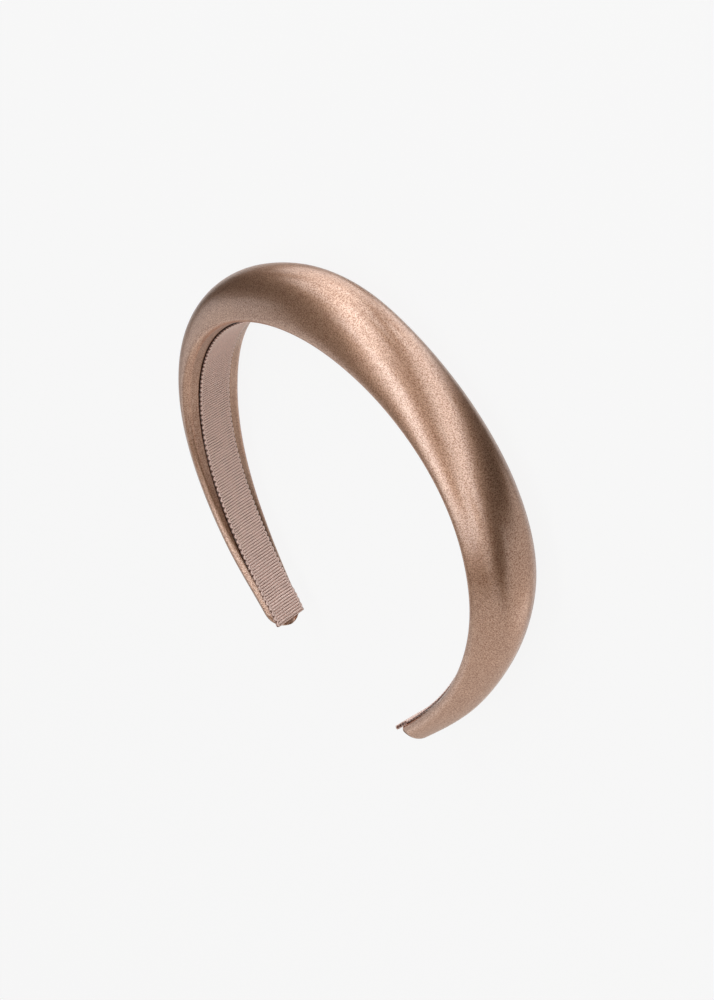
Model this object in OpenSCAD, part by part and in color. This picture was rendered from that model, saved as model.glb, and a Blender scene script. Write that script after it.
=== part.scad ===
// Padded headband, lying on its rear edge
// X runs across the head, Y towards the crown and Z along the width of the band.
// The origin is under the middle of its outline, on the surface that it lies on.

/* [Arch] */
// Length of the inner face along the curve, from tip to tip
inner_length = 370; // [320:5:410]
// Radius of the inner face at the middle of the crown
crown_r = 85; // [76:1:100]

/* [Padding] */
// Width of the band at the crown
crown_w = 24; // [20:1:36]
// Width of the band just before the tips
tip_w = 12.6; // [12:0.2:18]
// Thickness of the padding at the crown
crown_t = 18.2; // [10:0.2:24]
// Thickness of the padding just before the tips
tip_t = 6.5; // [4:0.5:9]
// Length over which each padded end is rounded
end_round = 7; // [4:0.5:10]
// How far each padded end reaches past the ribbon
end_past = 2; // [1:0.5:4]

/* [Rolled edges] */
// How far the widest part overhangs the inner face at the crown
edge_overhang = 2.4; // [1:0.1:3.5]
// The same at the tips
tip_overhang = 0.6; // [0.3:0.1:1.5]
// How far the rolled edge lies back from the ribbon's seat at the crown
edge_lift = 1; // [0.4:0.1:1.6]
// The same at the tips
tip_lift = 0.6; // [0.2:0.1:1]

/* [Ribbon] */
// Width of the ribbon
ribbon_w = 12.4; // [8:0.2:14]
// Thickness of the ribbon
ribbon_t = 1; // [1:0.1:1.6]
// Length folded under at each end
fold_l = 7; // [4:0.5:12]
// Clearance between the ribbon and the satin
ribbon_gap = 0.2; // [0.1:0.05:0.4]

/* [Hidden] */

// Columns of the table of sections, which has one row for each fifth of half the length.
// BEND is how sharply the arch bends there, as a share of the bend at the crown.
// WIDTH and THICK are 1 at the crown's size and 0 at the tip's size.
BEND = 0;
WIDTH = 1;
THICK = 2;
SECTIONS = [
    [1.00, 1.00, 1.00],
    [1.12, 1.00, 0.73],
    [1.68, 0.98, 0.57],
    [1.19, 0.78, 0.35],
    [0.63, 0.36, 0.15],
    [0.10, 0.00, 0.00]
];

half_l = inner_length / 2;
half_end = half_l + end_past;
// The widest part of a section lies at this share of its thickness
belly = 0.12;
// Flat seat left beside the ribbon
seat_edge = 0.5;
// Depth of the recess that takes the folded ends, and the length of its slope
recess_d = ribbon_t + ribbon_gap;
recess_slope = 3;
// Radius of the folded end
fold_r = (recess_d + ribbon_t) / 2;

// Number of rings along half of the band, of steps in the walk along the arch,
// and of points round the outside and round each rolled edge of a section
rings = 34;
walk_steps = 300;
outer_n = 14;
turn_n = 3;

// A value of one column at a share t of the half length, on a smooth curve through the rows
function column(t, c) =
    let (last = len(SECTIONS) - 1, u = min(t, 1) * last, i = min(floor(u), last - 1), f = u - i)
    let (a = SECTIONS[abs(i - 1)][c], b = SECTIONS[i][c])
    let (d = SECTIONS[i + 1][c], e = SECTIONS[min(i + 2, last)][c])
    b + f * ((d - a) / 2 + f * (a - 2.5 * b + 2 * d - e / 2 + f * (1.5 * (b - d) + (e - a) / 2)));

function blend(a, b, share) = b + (a - b) * share;

// The right half of the arch as rows of distance, x, y and turned angle in degrees
WALK = [
    for (i = 0, a = 0, x = 0, y = 0;
        i <= walk_steps;
        step = half_end / walk_steps,
        bend = column((i + 0.5) * step / half_l, BEND) / crown_r,
        turned = bend * step * 180 / PI,
        x = x + step * cos(a + turned / 2),
        y = y - step * sin(a + turned / 2),
        a = a + turned,
        i = i + 1)
    [i * half_end / walk_steps, x, y, a]
];
function walk_column(c) = [for (row = WALK) [row[0], row[c]]];
WALK_X = walk_column(1);
WALK_Y = walk_column(2);
WALK_A = walk_column(3);

// A point at distance s along the arch, out from its inner face and z up, for either side
function arch_point(s, out, z) =
    let (d = abs(s), a = lookup(d, WALK_A), side = s < 0 ? -1 : 1)
    [side * (lookup(d, WALK_X) + out * sin(a)), lookup(d, WALK_Y) + out * cos(a), z];

// How deep the inner face is recessed for the folded end of the ribbon
function recess(s) =
    let (u = (abs(s) - (half_l - fold_l - recess_slope)) / recess_slope, f = max(0, min(1, u)))
    recess_d * f * f * (3 - 2 * f);

// Part of the full section that is left at distance s, as the end is rounded over a length
function rounding(s, length) =
    let (u = min(1, (half_end - abs(s)) / length))
    max(0.12, sqrt(max(0, 1 - (1 - u) * (1 - u))));

// One closed section of the padding, as points of the arch
function band_section(s) =
    let (t = min(1, abs(s) / half_l), seat = recess(s))
    let (w = blend(crown_w, tip_w, column(t, WIDTH)) / 2)
    let (h = blend(crown_t, tip_t, column(t, THICK)) - seat)
    let (over = blend(edge_overhang, tip_overhang, 1 - t), lift = blend(edge_lift, tip_lift, 1 - t))
    let (face = w - over, bulge = max(belly * h, lift))
    let (flat = min(ribbon_w / 2 + seat_edge, face))
    let (outer = [for (i = [0 : outer_n]) let (q = 180 * i / outer_n)
        [w * cos(q), bulge + (h - bulge) * sin(q)]])
    let (turned = [for (i = [1 : turn_n]) let (q = 90 * i / turn_n)
        [face + over * cos(q), bulge - (bulge - lift) * sin(q)]])
    let (rear = [for (p = turned) [-p[0], p[1]]])
    let (front = [for (i = [turn_n - 1 : -1 : 0]) turned[i]])
    let (outline = concat(outer, rear, [[-flat, 0], [flat, 0]], front))
    let (wide = rounding(s, end_round), deep = rounding(s, end_round * 0.8))
    [for (p = outline) arch_point(s, seat + p[1] * deep, p[0] * wide)];

// One closed section of the ribbon: a single wall, doubled where its end is folded under.
// Where the fold turns round, a share of the doubled wall is left.
function ribbon_section(s, share) =
    let (w = ribbon_w / 2, out = recess(s) - ribbon_gap, in = -ribbon_gap - ribbon_t)
    let (middle = (out + in) / 2, half = (out - in) / 2 * share)
    [for (p = [[w, middle + half], [-w, middle + half], [-w, middle - half], [w, middle - half]])
        arch_point(s, p[1], p[0])];

// Distances of the rings, closer together towards both ends
function ring_places(end) =
    [for (i = [-rings : rings]) let (q = i / rings) end * (0.35 * q + 0.65 * sin(90 * q))];

// Rings of the right fold as rows of distance and share
function fold_rings() =
    [for (q = [10 : 15 : 85]) [half_l - fold_r + fold_r * sin(q), cos(q)]];

// A closed skin through a list of rings that have the same number of points
module skin(sections) {
    n = len(sections[0]);
    last = len(sections) - 1;
    points = [for (ring = sections) each ring];
    first_cap = [for (j = [0 : n - 1]) j];
    last_cap = [for (j = [n - 1 : -1 : 0]) last * n + j];
    walls = [
        for (i = [0 : last - 1], j = [0 : n - 1])
        let (k = (j + 1) % n)
        each [[i * n + j, (i + 1) * n + j, (i + 1) * n + k], [i * n + j, (i + 1) * n + k, i * n + k]]
    ];
    polyhedron(points, concat([first_cap, last_cap], walls), convexity = 6);
}

BAND_SECTIONS = [for (s = ring_places(half_end)) band_section(s)];
right_fold = fold_rings();
left_fold = [for (i = [len(right_fold) - 1 : -1 : 0]) [-right_fold[i][0], right_fold[i][1]]];
ribbon_rings = concat(left_fold, [for (s = ring_places(half_l - fold_r)) [s, 1]], right_fold);
RIBBON_SECTIONS = [for (ring = ribbon_rings) ribbon_section(ring[0], ring[1])];
band_y = [for (ring = BAND_SECTIONS) for (p = ring) p[1]];
middle_y = (min(band_y) + max(band_y)) / 2;
lowest_z = min([for (ring = BAND_SECTIONS) for (p = ring) p[2]]);

// Lays the arch on its rear edge with its outline centred on the origin
module laid_down() {
    translate([0, -middle_y, -lowest_z]) children();
}

module padded_band() {
    color("#a98a78") laid_down() skin(BAND_SECTIONS);
}

module ribbon_lining() {
    color("#cbb0a8") laid_down() skin(RIBBON_SECTIONS);
}

padded_band();
ribbon_lining();
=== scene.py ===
import math

import bpy
import numpy as np
from mathutils import Matrix, Quaternion, Vector, noise


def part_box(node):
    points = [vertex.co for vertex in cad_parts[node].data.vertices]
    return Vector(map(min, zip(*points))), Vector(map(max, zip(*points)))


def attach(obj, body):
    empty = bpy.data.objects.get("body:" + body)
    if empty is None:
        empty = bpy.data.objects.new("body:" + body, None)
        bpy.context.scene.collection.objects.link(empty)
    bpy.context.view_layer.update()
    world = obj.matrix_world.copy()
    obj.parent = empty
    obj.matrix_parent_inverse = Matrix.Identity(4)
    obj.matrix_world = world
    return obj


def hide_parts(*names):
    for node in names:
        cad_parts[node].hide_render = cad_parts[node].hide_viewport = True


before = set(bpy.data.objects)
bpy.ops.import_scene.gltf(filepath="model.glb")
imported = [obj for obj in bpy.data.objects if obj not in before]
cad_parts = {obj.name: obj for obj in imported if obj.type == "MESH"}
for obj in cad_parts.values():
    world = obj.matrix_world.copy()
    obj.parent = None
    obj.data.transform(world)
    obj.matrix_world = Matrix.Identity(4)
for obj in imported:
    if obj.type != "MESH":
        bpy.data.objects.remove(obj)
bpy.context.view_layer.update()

MM = 0.001

# Sizes of the part, in metres, as its source gives them
INNER_LENGTH = 370 * MM
CROWN_R = 85 * MM
CROWN_W = 24 * MM
TIP_W = 12.6 * MM
CROWN_T = 18.2 * MM
TIP_T = 6.5 * MM
END_ROUND = 7 * MM
END_PAST = 2 * MM
RIBBON_W = 12.4 * MM
RIBBON_T = 1 * MM
FOLD_L = 7 * MM
RIBBON_GAP = 0.2 * MM

# Half the length of the inner face, and the same with the end of the padding past it
HALF_L = INNER_LENGTH / 2
HALF_END = HALF_L + END_PAST

# Columns of the table of sections, a row for each fifth of half the length.
# BEND is a share of the bend at the crown, WIDTH and THICK go from 1 at the crown's size to 0 at the tip's.
BEND, WIDTH, THICK = 0, 1, 2
SECTIONS = np.array([
    [1.00, 1.00, 1.00],
    [1.12, 1.00, 0.73],
    [1.68, 0.98, 0.57],
    [1.19, 0.78, 0.35],
    [0.63, 0.36, 0.15],
    [0.10, 0.00, 0.00],
])

# The real band isn't quite the same on both sides. The table has a row for each sixth of half the length,
# from the tip at -X to the one at +X. OUT is how far the arch lies out from its even shape, in millimetres,
# and FILL how much more its section is filled, in hundredths.
OUT, FILL = 0, 1
SIDES = np.array([
    [-1.6, 5],
    [0.1, 7],
    [0.8, 2],
    [0.2, 2],
    [0.1, -2],
    [0.2, 2],
    [0.1, 2],
    [0.1, 0],
    [0.2, 1],
    [0.1, 6],
    [-0.8, 1],
    [0.0, 0],
    [0.1, -1],
])

# How much farther than its even place each end reaches, at -X and at +X
REACH = (-0.5 * MM, 3.4 * MM)

# The shape of the inner face is walked in steps from the crown to a little past the longer end
WALK_STEPS = 300
WALK_END = HALF_END + 5 * MM

# Depth of the cover's pocket for the folded end of the ribbon, and the length of its slope
RECESS_D = 0.5 * MM
RECESS_SLOPE = 3 * MM

# Where the arch stands in the frame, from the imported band
band_low, band_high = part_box("padded_band")
ARCH_Y = band_high.y - CROWN_T
MIDDLE_Z = (band_low.z + band_high.z) / 2


def smooth_curve(rows, share):
    """Values at shares from 0 to 1 of a smooth curve through the rows."""
    last = len(rows) - 1
    u = np.clip(share, 0, 1) * last
    i = np.minimum(np.floor(u).astype(int), last - 1)
    f = u - i
    a, b, d, e = rows[np.abs(i - 1)], rows[i], rows[i + 1], rows[np.minimum(i + 2, last)]
    curve = a - 2.5 * b + 2 * d - e / 2 + f * (1.5 * (b - d) + (e - a) / 2)
    return b + f * ((d - a) / 2 + f * curve)


def column(t, c):
    """A column of the sections at shares t of the half length."""
    return smooth_curve(SECTIONS[:, c], t)


def uneven_side(s, c):
    """A column of the two sides at distances s along the arch."""
    return smooth_curve(SIDES[:, c], (s / HALF_L + 1) / 2)


def blend(a, b, share):
    """From b at share 0 to a at share 1."""
    return b + (a - b) * share


def smooth_step(u):
    u = np.clip(u, 0, 1)
    return u * u * (3 - 2 * u)


def walk_arch():
    """Distance, x, y and turned angle at each step along the right half of the inner face."""
    step = WALK_END / WALK_STEPS
    turned = column((np.arange(WALK_STEPS) + 0.5) * step / HALF_L, BEND) / CROWN_R * step
    angle = np.concatenate([[0], np.cumsum(turned)])
    middle = angle[:-1] + turned / 2
    x = np.concatenate([[0], np.cumsum(step * np.cos(middle))])
    y = np.concatenate([[0], -np.cumsum(step * np.sin(middle))])
    return np.arange(WALK_STEPS + 1) * step, x, y, angle


WALK_S, WALK_X, WALK_Y, WALK_A = walk_arch()


def arch_points(s, out, z):
    """Points at distance s along the arch, out from its inner face and z from its middle."""
    out = out + uneven_side(s, OUT) * MM
    s = s + np.where(s < 0, -REACH[0], REACH[1]) * smooth_step(np.abs(s) / HALF_L)
    d = np.abs(s)
    angle = np.interp(d, WALK_S, WALK_A)
    x = np.where(s < 0, -1, 1) * (np.interp(d, WALK_S, WALK_X) + out * np.sin(angle))
    y = ARCH_Y + np.interp(d, WALK_S, WALK_Y) + out * np.cos(angle)
    return np.stack(np.broadcast_arrays(x, y, MIDDLE_Z + z), axis=-1)


def recess(s):
    """How deep the pocket is that takes the folded end of the ribbon."""
    opened = smooth_step((np.abs(s) - (HALF_L - FOLD_L - RECESS_SLOPE)) / RECESS_SLOPE)
    return RECESS_D * opened * smooth_step((HALF_END - np.abs(s)) / END_PAST)


def rounding(s, length):
    """Part of the full section that is left at distance s, as the end is rounded over a length."""
    u = np.minimum(1, (HALF_END - np.abs(s)) / length)
    return np.sqrt(np.maximum(0, 1 - (1 - u) ** 2))


# Meshes

def mesh_object(name, points, faces):
    mesh = bpy.data.meshes.new(name)
    mesh.from_pydata(points.tolist(), [], faces)
    mesh.update()
    piece = bpy.data.objects.new(name, mesh)
    bpy.context.scene.collection.objects.link(piece)
    mesh.polygons.foreach_set("use_smooth", [True] * len(mesh.polygons))
    return piece


def ring_corners(rings, around):
    """Corners of the quads between rings: one and the next on a ring, then those beside them on the next."""
    for i in range(rings - 1):
        for j in range(around):
            k = (j + 1) % around
            yield i * around + j, i * around + k, (i + 1) * around + j, (i + 1) * around + k


def set_attribute(mesh, name, values):
    """Stores a number for each point, which a material reads by its name."""
    mesh.attributes.new(name, "FLOAT", "POINT").data.foreach_set("value", values.astype(np.float32))


def read_points(mesh):
    points = np.zeros(len(mesh.vertices) * 3, np.float32)
    mesh.vertices.foreach_get("co", points)
    return points.reshape(-1, 3).astype(float)


def write_points(mesh, points):
    mesh.vertices.foreach_set("co", points.astype(np.float32).ravel())
    mesh.update()


def read_normals(mesh):
    return np.array([vertex.normal for vertex in mesh.vertices])


def subdivide(piece, levels):
    modifier = piece.modifiers.new("Smooth", "SUBSURF")
    modifier.levels = levels
    modifier.render_levels = levels
    graph = bpy.context.evaluated_depsgraph_get()
    finer = bpy.data.meshes.new_from_object(piece.evaluated_get(graph))
    piece.modifiers.remove(modifier)
    old = piece.data
    piece.data = finer
    finer.name = piece.name
    bpy.data.meshes.remove(old)
    finer.polygons.foreach_set("use_smooth", [True] * len(finer.polygons))


# Satin cover

# Rings along the cover's body and along each rounded end. EVEN_SHARE of the body's spacing is even, and the
# rest gets closer towards the ends. CAP_ANGLES are those of an end's first and last ring on its rounding, in
# degrees, where 90 is its start and 0 its tip.
BODY_RINGS = 190
CAP_RINGS = 9
EVEN_SHARE = 0.45
CAP_ANGLES = (84, 8)

# Steps of a section round the back, on the roll's edge, on the margin, down the groove and across the seat
OUTER_N = 30
EDGE_N = 6
MARGIN_N = 4
GROOVE_N = 3
SEAT_N = 5

# Lower part of the cover's section. A crisp ridge runs near its widest part, and a flat margin slopes from it
# down to a groove beside the ribbon. The roll above it is widest at ROLL_TOP of the thickness, and there at
# least ROLL_OVER farther out than the ridge.
ROLL_TOP = 0.17
ROLL_OVER = 0.2 * MM

# Pairs, at the crown and at the tips: how far the ridge lies in from the widest part and out from the inner
# face, how far out and how far beside the ribbon the foot of the margin lies, and how deep the groove is.
# MARGIN_LEAST is the least width that the margin has.
RIDGE_IN = (1.7 * MM, 1.1 * MM)
RIDGE_OUT = (0.4 * MM, -0.5 * MM)
MARGIN_OUT = (-0.25 * MM, -0.45 * MM)
MARGIN_CLEAR = (0, -0.1 * MM)
MARGIN_LEAST = 0.3 * MM
GROOVE = (1.8 * MM, 0.3 * MM)

# Where the groove's lip, its bottom and the seat lie in from the foot of the margin, and the share of the
# groove's depth that is left below its lip
LIP_IN = 0.1 * MM
GROOVE_IN = 0.2 * MM
SEAT_IN = 1.3 * MM
BELOW_LIP = 0.7

# How far round the roll turns before the ridge breaks it off, and where on its circle the rounded back starts
ROLL_TURN = math.radians(35)
BACK_FROM = math.radians(15)

# The end is rounded over a shorter length in its thickness than in its width
END_ROUND_T = END_ROUND * 0.8

# Painted shade: how far along the arch the groove beside the ribbon is painted dark, and what share of that
# painted shade the margin gets
PAINTED_SHADE_REACH = 150 * MM
MARGIN_PAINTED_SHADE = 0.2

# The padding swells in full from this height above the ridge. Before it is filled, the cover lies this much
# inside its shape, and filling moves no point farther than the cap.
SWELLS_FROM = 3 * MM
SLACK = 0.2 * MM
PUFF_CAP = 0.5 * MM

# Settings of the cloth simulation that fills the cover, held along its seat
SEAT_GROUP = "seat"
FILLING_FRAMES = 20
FILLING = {
    "quality": 6,
    "mass": 0.002,
    "tension_stiffness": 15,
    "compression_stiffness": 15,
    "shear_stiffness": 5,
    "bending_stiffness": 0.05,
    "use_pressure": True,
    "uniform_pressure_force": 200,
    "vertex_group_mass": SEAT_GROUP,
    "pin_stiffness": 1,
}

# Size and depth of the padding's soft bumps and hollows, and where their noise is taken
UNEVEN_SIZE = 22 * MM
UNEVEN_DEPTH = 0.16 * MM
UNEVEN_AT = Vector((3.1, 0, 0))


def section_sides(s, half_w, thick):
    """Rows of z and out from the roll's edge to the seat, and how far out the roll and the padding start."""
    t = min(1, abs(s) / HALF_L)
    ridge_in = blend(*RIDGE_IN, 1 - t * t)
    lift = blend(*RIDGE_OUT, 1 - t * t)
    low = blend(*MARGIN_OUT, 1 - t)
    deep = low + blend(*GROOVE, 1 - t)
    seat = recess(s)
    face = half_w - ridge_in
    foot = min(RIBBON_W / 2 + blend(*MARGIN_CLEAR, 1 - t), face - MARGIN_LEAST)
    bulge = max(ROLL_TOP * thick, lift + ROLL_OVER)
    q = np.linspace(0, ROLL_TURN, EDGE_N + 1)[1:]
    turned = (1 - np.cos(q)) / (1 - math.cos(ROLL_TURN))
    edge = np.stack([half_w - ridge_in * turned, bulge - (bulge - lift) * np.sin(q) / math.sin(ROLL_TURN)], 1)
    q = np.linspace(0, 1, MARGIN_N + 1)[1:]
    margin = np.stack([face - (face - foot) * q, lift + (low - lift) * q], 1)
    groove = np.array([[foot - LIP_IN, blend(low, deep, BELOW_LIP)], [foot - GROOVE_IN, deep]])
    side = np.concatenate([edge, margin, groove, [[foot - SEAT_IN, seat]]])
    return side, bulge, max(lift, seat)


def painted_side_shade(s):
    """Painted shade on the roll's edge, the margin and the groove of a section: none on the edge, some on the
    margin, most in the groove.
    """
    beside = MARGIN_PAINTED_SHADE * smooth_step((HALF_END - abs(s)) / (2 * END_ROUND))
    below = max(beside, smooth_step((PAINTED_SHADE_REACH - abs(s)) / PAINTED_SHADE_REACH * 2))
    return np.concatenate([np.zeros(EDGE_N), np.full(MARGIN_N, beside), np.full(GROOVE_N, below)])


def cover_outline(s):
    """One section of the cover: rows of z and out, their shares of padding, and their painted shade by the
    ribbon.
    """
    t = min(1, abs(s) / HALF_L)
    half_w = blend(CROWN_W, TIP_W, column(t, WIDTH)) / 2
    thick = blend(CROWN_T, TIP_T, column(t, THICK))
    front_side, bulge, ridge = section_sides(s, half_w, thick)
    rear_side = front_side * [-1, 1]
    q = np.linspace(BACK_FROM, math.pi - BACK_FROM, OUTER_N + 1)
    rise = (np.sin(q) - math.sin(BACK_FROM)) / (1 - math.sin(BACK_FROM))
    outer = np.stack([half_w * np.cos(q) / math.cos(BACK_FROM), bulge + (thick - bulge) * rise], 1)
    seat_edge, seat = front_side[-1]
    across = np.linspace(-1, 1, SEAT_N + 1)[1:-1] * seat_edge
    flat = np.stack([across, seat + 0 * across], 1)
    outline = np.concatenate([outer, rear_side, flat, front_side[::-1]])
    padding = np.clip((outline[:, 1] - ridge) / SWELLS_FROM, 0, 1)
    # Painted shade: none on the back, the side values on each side, and the groove's value across the seat.
    shade = painted_side_shade(s)
    painted_shade = np.concatenate([np.zeros(len(outer)), shade, np.full(len(flat), shade[-1]), shade[::-1]])
    outline *= 1 + uneven_side(s, FILL) / 100
    outline *= [rounding(s, END_ROUND), rounding(s, END_ROUND_T)]
    return outline, padding, painted_shade


def cover_places():
    """Distances of the rings, closer together towards the rounded ends."""
    q = np.linspace(-1, 1, BODY_RINGS + 1)
    body = (HALF_END - END_ROUND) * (EVEN_SHARE * q + (1 - EVEN_SHARE) * np.sin(q * math.pi / 2))
    cap = HALF_END - END_ROUND * (1 - np.cos(np.radians(np.linspace(*CAP_ANGLES, CAP_RINGS))))
    return np.concatenate([-cap[::-1], body, cap])


def tube_faces(rings, around):
    """Quads between the rings of a tube, and the fans that close it at one point past each end."""
    faces = [(a, c, d, b) for a, b, c, d in ring_corners(rings, around)]
    first, last = rings * around, rings * around + 1
    for j in range(around):
        k = (j + 1) % around
        faces.append((first, j, k))
        faces.append((last, (rings - 1) * around + k, (rings - 1) * around + j))
    return faces


def tube_uv(mesh, rings, around, lengths, girths):
    """Lays out the tube flat, in metres along the band and round its section."""
    layer = mesh.uv_layers.new(name="cloth")
    uv = np.zeros((len(mesh.loops), 2), np.float32)
    first = rings * around
    for face in mesh.polygons:
        corners = list(face.loop_indices)
        points = [mesh.loops[corner].vertex_index for corner in corners]
        turns = [point % around for point in points if point < first]
        wraps = max(turns) - min(turns) > 1
        for corner, point in zip(corners, points):
            if point >= first:
                uv[corner] = (lengths[0] if point == first else lengths[-1], girths[turns[0]])
                continue
            turn = point % around
            uv[corner] = (lengths[point // around], girths[around if wraps and turn == 0 else turn])
    layer.data.foreach_set("uv", uv.ravel())


def limited(offsets, most):
    """Offsets with none longer than the most."""
    size = np.linalg.norm(offsets, axis=1, keepdims=True)
    return offsets * np.minimum(1, most / np.maximum(size, 1e-12))


def puff_out(piece, shape, held):
    """Fills the slack cover by cloth simulation, held along its seat, and moves the shape as it swells."""
    rest = read_points(piece.data)
    group = piece.vertex_groups.new(name=SEAT_GROUP)
    for index, weight in enumerate(held):
        group.add([index], float(weight), "REPLACE")
    cloth = piece.modifiers.new("Filling", "CLOTH")
    for name, value in FILLING.items():
        setattr(cloth.settings, name, value)
    cloth.settings.effector_weights.gravity = 0
    cloth.point_cache.frame_start = 1
    cloth.point_cache.frame_end = FILLING_FRAMES
    for number in range(1, FILLING_FRAMES + 1):
        bpy.context.scene.frame_set(number)
    graph = bpy.context.evaluated_depsgraph_get()
    filled = read_points(piece.evaluated_get(graph).data)
    piece.modifiers.remove(cloth)
    bpy.context.scene.frame_set(1)
    write_points(piece.data, shape + limited(filled - rest, PUFF_CAP))


def uneven(points, normals):
    """Moves points in and out a little, as foam under cloth is never quite even."""
    lift = np.array([noise.noise(Vector(point) / UNEVEN_SIZE + UNEVEN_AT) for point in points])
    return points + normals * (lift * UNEVEN_DEPTH)[:, None]


def make_cover():
    """The satin over its padding, as one closed skin round the arch."""
    places = cover_places()
    rings, points, padding, painted_shade = len(places), [], [], []
    for s in places:
        outline, padded, shade = cover_outline(s)
        points.append(arch_points(s, outline[:, 1], outline[:, 0]))
        padding.append(padded)
        painted_shade.append(shade)
    middle = points[rings // 2]
    around = len(middle)
    girth = np.linalg.norm(np.diff(middle, axis=0, append=middle[:1]), axis=1)
    girths = np.concatenate([[0], np.cumsum(girth)])
    ends = [arch_points(side * HALF_END, 0.0, 0.0) for side in (-1, 1)]
    points = np.concatenate([*points, ends])
    padding = np.concatenate([*padding, [1, 1]])
    painted_shade = np.concatenate([*painted_shade, [0, 0]])
    piece = mesh_object("satin_cover", points, tube_faces(rings, around))
    tube_uv(piece.data, rings, around, places, girths)
    # The satin material darkens the groove and margin by this stored painted shade.
    set_attribute(piece.data, "painted_shade", painted_shade)
    write_points(piece.data, points - read_normals(piece.data) * (SLACK * padding)[:, None])
    puff_out(piece, points, 1 - padding)
    normals = read_normals(piece.data) * padding[:, None]
    write_points(piece.data, uneven(read_points(piece.data), normals))
    subdivide(piece, 1)
    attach(piece, "root")
    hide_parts("padded_band")
    return piece


# Ribbon

# Distance from rib to rib and points along it, and half the width of a rib as a share of the distance
RIB_PITCH = 0.98 * MM
RIB_SAMPLES = 8
RIB_R = 0.41

# Thickness with the ribs, height of the ribs alone, and depth of the notches between the edge's loops
RIBBON_H = 0.62 * MM
RIB_DEPTH = 0.28 * MM
NOTCH = 0.42 * MM

# The ribs turn into loops this many depths of a notch from the edge, and the loops are this much shorter
# across than along. The edge's outline follows them with this power, where 2 would be a circle, and its bays
# reach in to this share of the half width.
LOOP_FROM = 1.9
LOOP_SQUASH = 1.25
LOOP_POWER = 2.6
PULL_FROM = 0.6

# The ribs wander by up to this many pitches. Their noise goes on by this much for each pitch along and each
# half width across, at this place in its third direction.
WANDER = 0.12
WANDER_ALONG = 0.13
WANDER_ACROSS = 2.0
WANDER_AT = 7.7

# The face thins over this last share of the half width, and the underside has this share of the width
RIM = 0.045
UNDER_W = 0.985

# The outermost points of a section, from this share of its half width on, have the rim's painted shade, and
# the underside its own, where 0 is a groove's painted shade and 1 the top of a rib
RIM_FROM = 0.999
RIM_SHADE = 0.3
UNDER_SHADE = 0.5

# Radius at which the ends turn back, and how much prouder the ribbon stands over the part folded under.
# It rises over a length that starts a little before that part.
TURN_R = 0.42 * MM
FOLD_RISE = 0.6 * MM
RISE_BEFORE = 3 * MM
RISE_OVER = 4 * MM

# The side towards the head lies where that of the solid does
RIBBON_OUT = -RIBBON_GAP - RIBBON_T

# The ribs lean this much along the arch for each metre across the ribbon, all of it from this far along
RIB_LEAN = 0.11
LEAN_FROM = 60 * MM

# Shares of the ribbon's half width at which its columns lie, closer together towards the looped edge,
# and those of them, counted from either edge, that the underside has besides its middle
COLUMNS = np.array([0, 0.35, 0.65, 0.78, 0.84, 0.88, 0.91, 0.935, 0.957, 0.975, 0.99, 1])
UNDER_COLUMNS = (2, 5, 8)


def ribbon_path(u):
    """Distance along the arch and turned angle, for lengths u along the ribbon from its middle."""
    straight = HALF_L - TURN_R
    turn = math.pi * TURN_R
    d = np.abs(u)
    angle = np.clip((d - straight) / TURN_R, 0, math.pi)
    s = np.where(d < straight, d, straight + TURN_R * np.sin(angle))
    s = np.where(d > straight + turn, straight - (d - straight - turn), s)
    return np.sign(u) * s, angle


def ribbon_half_length():
    return HALF_L - TURN_R + math.pi * TURN_R + FOLD_L - TURN_R


def loop_centre(u, side):
    """Middle of the nearest loop at lengths u in pitches. The two edges have their loops in turn."""
    offset = np.where(side > 0, 0.5, 1.5)
    return np.round((u - offset) / 2) * 2 + offset


def weft_height(u, v):
    """Height of the ribs, from 0 in the grooves to 1 on top, at lengths u in pitches and widths v."""
    straight = RIBBON_W / 2 - NOTCH * LOOP_FROM
    beyond = np.maximum(np.abs(v) - straight, 0) / RIB_PITCH * LOOP_SQUASH
    from_loop = np.abs(np.hypot(u - loop_centre(u, v), beyond) - 0.5)
    from_rib = np.abs(u - np.floor(u) - 0.5)
    reach = np.where(beyond > 0, from_loop, from_rib) / RIB_R
    return np.sqrt(np.maximum(0, 1 - np.minimum(reach, 1) ** 2))


def edge_share(u, side):
    """How far out the looped edge reaches at length u, as a share of the half width."""
    x = np.abs(u - loop_centre(u, side))
    return 1 - NOTCH / (RIBBON_W / 2) * (1 - np.sqrt(np.maximum(0, 1 - x ** LOOP_POWER)))


def weave_face():
    """Lengths, widths, heights and height of rib on the ribbon's face.

    One weft goes to and fro, with a loop at every turn."""
    half = ribbon_half_length()
    ribs = int(round(2 * half / RIB_PITCH))
    pitch = 2 * half / ribs
    u = np.linspace(0, ribs, ribs * RIB_SAMPLES + 1)
    each_rib = u[::RIB_SAMPLES]
    shares = np.concatenate([-COLUMNS[:0:-1], COLUMNS])
    width, top = [], []
    for share in shares:
        pull = np.clip((abs(share) - PULL_FROM) / (1 - PULL_FROM), 0, 1)
        v = share * RIBBON_W / 2 * (1 + (edge_share(u, share) - 1) * pull)
        at = [Vector((a * WANDER_ALONG, share * WANDER_ACROSS, WANDER_AT)) for a in each_rib]
        wave = np.interp(u, each_rib, [noise.noise(place) for place in at]) * WANDER
        width.append(v)
        top.append(weft_height(u + wave, v) * (abs(share) < 1))
    width, top = np.array(width).T, np.array(top).T
    length = (u * pitch - half)[:, None] + 0 * width
    rim = np.sqrt(np.clip((1 - np.abs(shares)) / RIM, 0, 1))
    return length, width, (RIBBON_H - RIB_DEPTH) * rim + RIB_DEPTH * top, top


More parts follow.
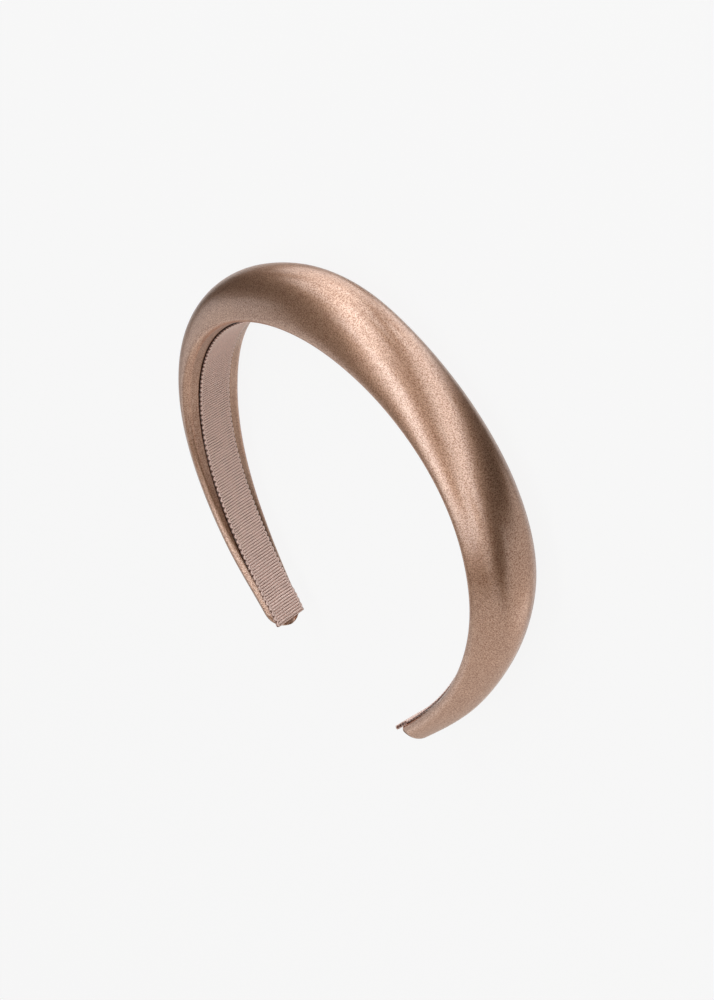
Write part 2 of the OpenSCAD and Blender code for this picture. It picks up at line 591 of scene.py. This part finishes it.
def ribbon_points(length, width, height):
    """Places points of the flat ribbon on its path; height is from the underside to the head's side."""
    s, angle = ribbon_path(length)
    middle = RIBBON_H / 2
    off = height - middle
    proud = FOLD_RISE * smooth_step((np.abs(s) - (HALF_L - FOLD_L - RISE_BEFORE)) / RISE_OVER)
    centre_out = RIBBON_OUT + middle + TURN_R * (1 - np.cos(angle)) - proud
    out = centre_out - off * np.cos(angle)
    lean = RIB_LEAN * width * smooth_step(np.abs(s) / LEAN_FROM)
    s = s + np.sign(length) * (off * np.sin(angle) + lean)
    return arch_points(s, out, width)


def make_ribbon():
    """The ribbed ribbon with its looped edges, and its ends folded under."""
    length, width, height, top = weave_face()
    steps, across = height.shape
    under = [*UNDER_COLUMNS, across // 2, *(across - 1 - c for c in reversed(UNDER_COLUMNS))]
    face_points = ribbon_points(length, width, height)
    under_points = ribbon_points(length[:, under], width[:, under] * UNDER_W, 0.0)
    points = np.concatenate([face_points, under_points[:, ::-1]], axis=1).reshape(-1, 3)
    around = across + len(under)
    faces = [(a, b, d, c) for a, b, c, d in ring_corners(steps, around)]
    faces.append(tuple(range(around - 1, -1, -1)))
    faces.append(tuple((steps - 1) * around + j for j in range(around)))
    piece = mesh_object("ribbon_weave", points, faces)
    mesh = piece.data
    # Painted shade: the stored value colours the ribbon from dark grooves to light rib tops, with fixed
    # values on the rim and underside.
    rim = np.abs(width) > RIM_FROM * np.abs(width).max(axis=1, keepdims=True)
    shade = np.concatenate([np.where(rim, RIM_SHADE, top), np.full((steps, len(under)), UNDER_SHADE)], axis=1)
    set_attribute(mesh, "rib_top", shade.ravel())
    along = np.concatenate([length, length[:, under]], axis=1).ravel()
    wide = np.concatenate([width, width[:, under][:, ::-1]], axis=1).ravel()
    at = np.zeros(len(mesh.loops), int)
    mesh.loops.foreach_get("vertex_index", at)
    uv = np.stack([along[at], wide[at]], 1).astype(np.float32)
    mesh.uv_layers.new(name="cloth").data.foreach_set("uv", uv.ravel())
    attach(piece, "root")
    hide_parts("ribbon_lining")
    return piece


# Materials

# Satin: how many waves of tint and of grain there are in a metre, and their darkest and lightest colours.
# The grain's colours are factors, and go over 1 so that a grain can be lighter than the tint.
# Painted shade darkens the groove beside the ribbon, and less so the margin, down to the factor after the
# grain's colours; the coat has COAT_SHARE of what grain and painted shade leave.
TINT_SCALE = 60
GRAIN_SCALE = 2600
SATIN_DEEP = (0.66, 0.355, 0.21)
SATIN_PALE = (0.715, 0.39, 0.232)
GRAIN_DARK = (0.56, 0.46, 0.4)
GRAIN_LIGHT = (1.32, 1.4, 1.46)
PAINTED_SHADE_DARKEST = 0.25
COAT_SHARE = 0.8
SATIN_BUMP = 0.28
SATIN = {
    "Metallic": 0.92,
    "Roughness": 0.40,
    "Coat Roughness": 0.24,
    "Coat IOR": 3.0,
}

# Ribbon: colours in the grooves, on the slopes and on top of the ribs, where the dark of the grooves is
# painted shade on top of their relief, and how fine its threads are along and across, in a metre
PINK_GROOVE_SHADE = (0.18, 0.09, 0.065)
PINK_SLOPE = (0.85, 0.555, 0.47)
PINK_RIB = (1.0, 0.765, 0.68)
THREADS = (1300, 5200, 1)
THREAD_DARK = 0.85
THREAD_LIGHT = 1.12
RIBBON_BUMP = 0.3
RIBBON = {
    "Roughness": 0.62,
    "Sheen Weight": 1.0,
    "Sheen Roughness": 0.3,
}

# Height of fine relief at a strength of 1
BUMP_DEPTH = 0.1 * MM


def new_material(name):
    material = bpy.data.materials.new(name)
    material.use_nodes = True
    tree = material.node_tree
    return material, tree, tree.nodes["Principled BSDF"]


def node(tree, kind, **values):
    made = tree.nodes.new(kind)
    for key, value in values.items():
        setattr(made, key, value)
    return made


def set_inputs(made, values):
    for name, value in values.items():
        made.inputs[name].default_value = value


def noise_factor(tree, vector, scale, detail, roughness):
    made = tree.nodes.new("ShaderNodeTexNoise")
    set_inputs(made, {"Scale": scale, "Detail": detail, "Roughness": roughness})
    tree.links.new(vector, made.inputs["Vector"])
    return made.outputs["Fac"]


def ramp(tree, value, stops):
    """Colours between stops of a place and a colour."""
    made = tree.nodes.new("ShaderNodeValToRGB")
    elements = made.color_ramp.elements
    while len(elements) < len(stops):
        elements.new(0.5)
    for element, (place, colour) in zip(elements, stops):
        element.position = place
        element.color = (*colour, 1)
    tree.links.new(value, made.inputs["Fac"])
    return made.outputs["Color"]


def product(tree, a, b):
    """Two colours multiplied."""
    made = node(tree, "ShaderNodeMix", data_type="RGBA", blend_type="MULTIPLY")
    made.inputs["Factor"].default_value = 1
    tree.links.new(a, made.inputs["A"])
    tree.links.new(b, made.inputs["B"])
    return made.outputs["Result"]


def relief(tree, height, strength):
    """Normals of fine relief."""
    made = tree.nodes.new("ShaderNodeBump")
    set_inputs(made, {"Strength": strength, "Distance": BUMP_DEPTH})
    tree.links.new(height, made.inputs["Height"])
    return made.outputs["Normal"]


def grey(value):
    return (value, value, value)


def satin_material():
    material, tree, shader = new_material("rose_brown_satin")
    place = tree.nodes.new("ShaderNodeTexCoord").outputs["Object"]
    broad = noise_factor(tree, place, TINT_SCALE, detail=2, roughness=0.5)
    grain = noise_factor(tree, place, GRAIN_SCALE, detail=1.5, roughness=0.6)
    tint = ramp(tree, broad, [(0.3, SATIN_DEEP), (0.7, SATIN_PALE)])
    speck = ramp(tree, grain, [(0.36, GRAIN_DARK), (0.64, GRAIN_LIGHT)])
    # Painted shade: the stored value darkens the base colour and the coat in the groove beside the ribbon and
    # on the margin.
    painted_shade_mask = node(tree, "ShaderNodeAttribute", attribute_name="painted_shade").outputs["Fac"]
    painted_shade_factor = ramp(tree, painted_shade_mask, [(0.0, grey(1)), (0.5, grey(PAINTED_SHADE_DARKEST))])
    share = product(tree, speck, painted_shade_factor)
    tree.links.new(product(tree, tint, share), shader.inputs["Base Color"])
    coat = node(tree, "ShaderNodeMath", operation="MULTIPLY")
    coat.inputs[1].default_value = COAT_SHARE
    tree.links.new(share, coat.inputs[0])
    tree.links.new(coat.outputs["Value"], shader.inputs["Coat Weight"])
    normal = relief(tree, grain, SATIN_BUMP)
    tree.links.new(normal, shader.inputs["Normal"])
    tree.links.new(normal, shader.inputs["Coat Normal"])
    set_inputs(shader, SATIN)
    return material


def ribbon_material():
    material, tree, shader = new_material("dusty_pink_grosgrain")
    # Painted shade: the grooves between the ribs are coloured darker than the rib tops.
    top = node(tree, "ShaderNodeAttribute", attribute_name="rib_top").outputs["Fac"]
    colour = ramp(tree, top, [(0.0, PINK_GROOVE_SHADE), (0.35, PINK_SLOPE), (0.75, PINK_RIB)])
    place = tree.nodes.new("ShaderNodeTexCoord").outputs["UV"]
    stretch = tree.nodes.new("ShaderNodeMapping")
    stretch.inputs["Scale"].default_value = THREADS
    tree.links.new(place, stretch.inputs["Vector"])
    threads = noise_factor(tree, stretch.outputs["Vector"], 1, detail=1, roughness=0.5)
    speck = ramp(tree, threads, [(0.3, grey(THREAD_DARK)), (0.7, grey(THREAD_LIGHT))])
    tree.links.new(product(tree, colour, speck), shader.inputs["Base Color"])
    tree.links.new(relief(tree, threads, RIBBON_BUMP), shader.inputs["Normal"])
    set_inputs(shader, RIBBON)
    return material


# Stage

# The floor and what the camera sees behind it have nearly the same pale grey. The floor shines by itself and
# reflects little, and the room is nearly dark for the band, which the panels light.
PALE = 0.939
ROOM = 0.02
FLOOR_HALF = 3.0
FLOOR = {
    "Base Color": (*grey(0.06), 1),
    "Roughness": 1,
    "Specular IOR Level": 0,
    "Emission Color": (*grey(PALE), 1),
    "Emission Strength": 0.95,
}

# Columns: name, azimuth from +X towards +Y and elevation in degrees, width and height in metres,
# roll in degrees and brightness. Each panel stands PANEL_AT from the band and faces it.
# Those in WARM are a little warmer than the others.
PANEL_AT = 1.0
WARM = ("side", "front", "corner")
WARM_WHITE = (1, 0.93, 0.865)
PANELS = [
    ("top", 133, 76, 0.2, 0.75, -38, 3.0),
    ("key_high", 113, 37, 0.46, 0.81, -19, 1.78),
    ("key_middle", 124, 5, 0.66, 1.09, -49, 1.12),
    ("key_low", 143, -29, 0.81, 0.88, 3, 1.08),
    ("under", 124, -62, 0.91, 0.29, -21, 1.25),
    ("strip_top", 16, 67, 0.39, 0.2, -5, 2.0),
    ("strip_high", 44, 44, 0.47, 0.58, 47, 1.4),
    ("strip_middle", 64, 10, 0.49, 0.81, 22, 1.42),
    ("strip_low", 82, -28, 0.45, 0.73, 41, 1.4),
    ("back", 219, 22, 1.25, 0.76, 1, 0.57),
    ("side", 284, 5, 1.46, 2.2, -13, 0.56),
    ("front", 335, -35, 1.08, 2.2, -18, 0.52),
    ("high_back", 271, 76, 0.78, 0.2, 17, 1.6),
    ("low_back", 223, -41, 1.45, 0.9, -53, 0.62),
    ("corner", 352, 52, 0.5, 0.3, 0, 0.7),
]

# The camera's direction from the band and roll in degrees, its distance and aim in metres, and its lens
# and sensor in millimetres
CAMERA_AZIMUTH = 44.394
CAMERA_ELEVATION = 30.648
CAMERA_ROLL = -117.348
CAMERA_DISTANCE = 0.80476
CAMERA_AIM = Vector((0.00183, -0.00304, 0.00962))
CAMERA_LENS = 91.03
SENSOR = 36


def make_floor():
    corners = np.array([[-1, -1, 0], [1, -1, 0], [1, 1, 0], [-1, 1, 0]]) * FLOOR_HALF
    floor = mesh_object("floor", corners, [(0, 1, 2, 3)])
    material, _, shader = new_material("pale_floor")
    set_inputs(shader, FLOOR)
    floor.data.materials.append(material)
    floor.visible_glossy = False
    floor.visible_diffuse = False
    floor.visible_shadow = False


def make_world():
    world = bpy.data.worlds.new("studio")
    bpy.context.scene.world = world
    world.use_nodes = True
    tree = world.node_tree
    seen = tree.nodes.new("ShaderNodeLightPath").outputs["Is Camera Ray"]
    mix = node(tree, "ShaderNodeMix", data_type="RGBA")
    set_inputs(mix, {"A": (*grey(ROOM), 1), "B": (*grey(PALE), 1)})
    tree.links.new(seen, mix.inputs["Factor"])
    tree.links.new(mix.outputs["Result"], tree.nodes["Background"].inputs["Color"])


def direction(azimuth, elevation):
    a, e = math.radians(azimuth), math.radians(elevation)
    return Vector((math.cos(e) * math.cos(a), math.cos(e) * math.sin(a), math.sin(e)))


def make_panels():
    centre = Vector((0, 0, MIDDLE_Z))
    for name, azimuth, elevation, width, height, roll, bright in PANELS:
        light = bpy.data.lights.new(name, "AREA")
        light.shape = "RECTANGLE"
        light.size = width
        light.size_y = height
        light.energy = bright * width * height * math.pi
        if name in WARM:
            light.color = WARM_WHITE
        panel = bpy.data.objects.new(name, light)
        bpy.context.scene.collection.objects.link(panel)
        towards = direction(azimuth, elevation)
        panel.location = centre + towards * PANEL_AT
        panel.rotation_mode = "QUATERNION"
        turn = Quaternion((0, 0, 1), math.radians(roll))
        panel.rotation_quaternion = towards.to_track_quat("Z", "Y") @ turn
        panel.visible_camera = False


def make_camera():
    back = direction(CAMERA_AZIMUTH, CAMERA_ELEVATION)
    level = Vector((0, 0, 1)).cross(back).normalized()
    upright = back.cross(level)
    roll = math.radians(CAMERA_ROLL)
    right = level * math.cos(roll) + upright * math.sin(roll)
    up = back.cross(right)
    data = bpy.data.cameras.new("camera")
    data.sensor_fit = "AUTO"
    data.sensor_width = SENSOR
    data.lens = CAMERA_LENS
    camera = bpy.data.objects.new("camera", data)
    bpy.context.scene.collection.objects.link(camera)
    turned = Matrix((right, up, back)).transposed().to_4x4()
    camera.matrix_world = Matrix.Translation(CAMERA_AIM + back * CAMERA_DISTANCE) @ turned
    bpy.context.scene.camera = camera


make_camera()
make_world()
make_panels()
make_floor()
cover = make_cover()
cover.data.materials.append(satin_material())
weave = make_ribbon()
weave.data.materials.append(ribbon_material())
bpy.context.scene.view_settings.view_transform = "Standard"
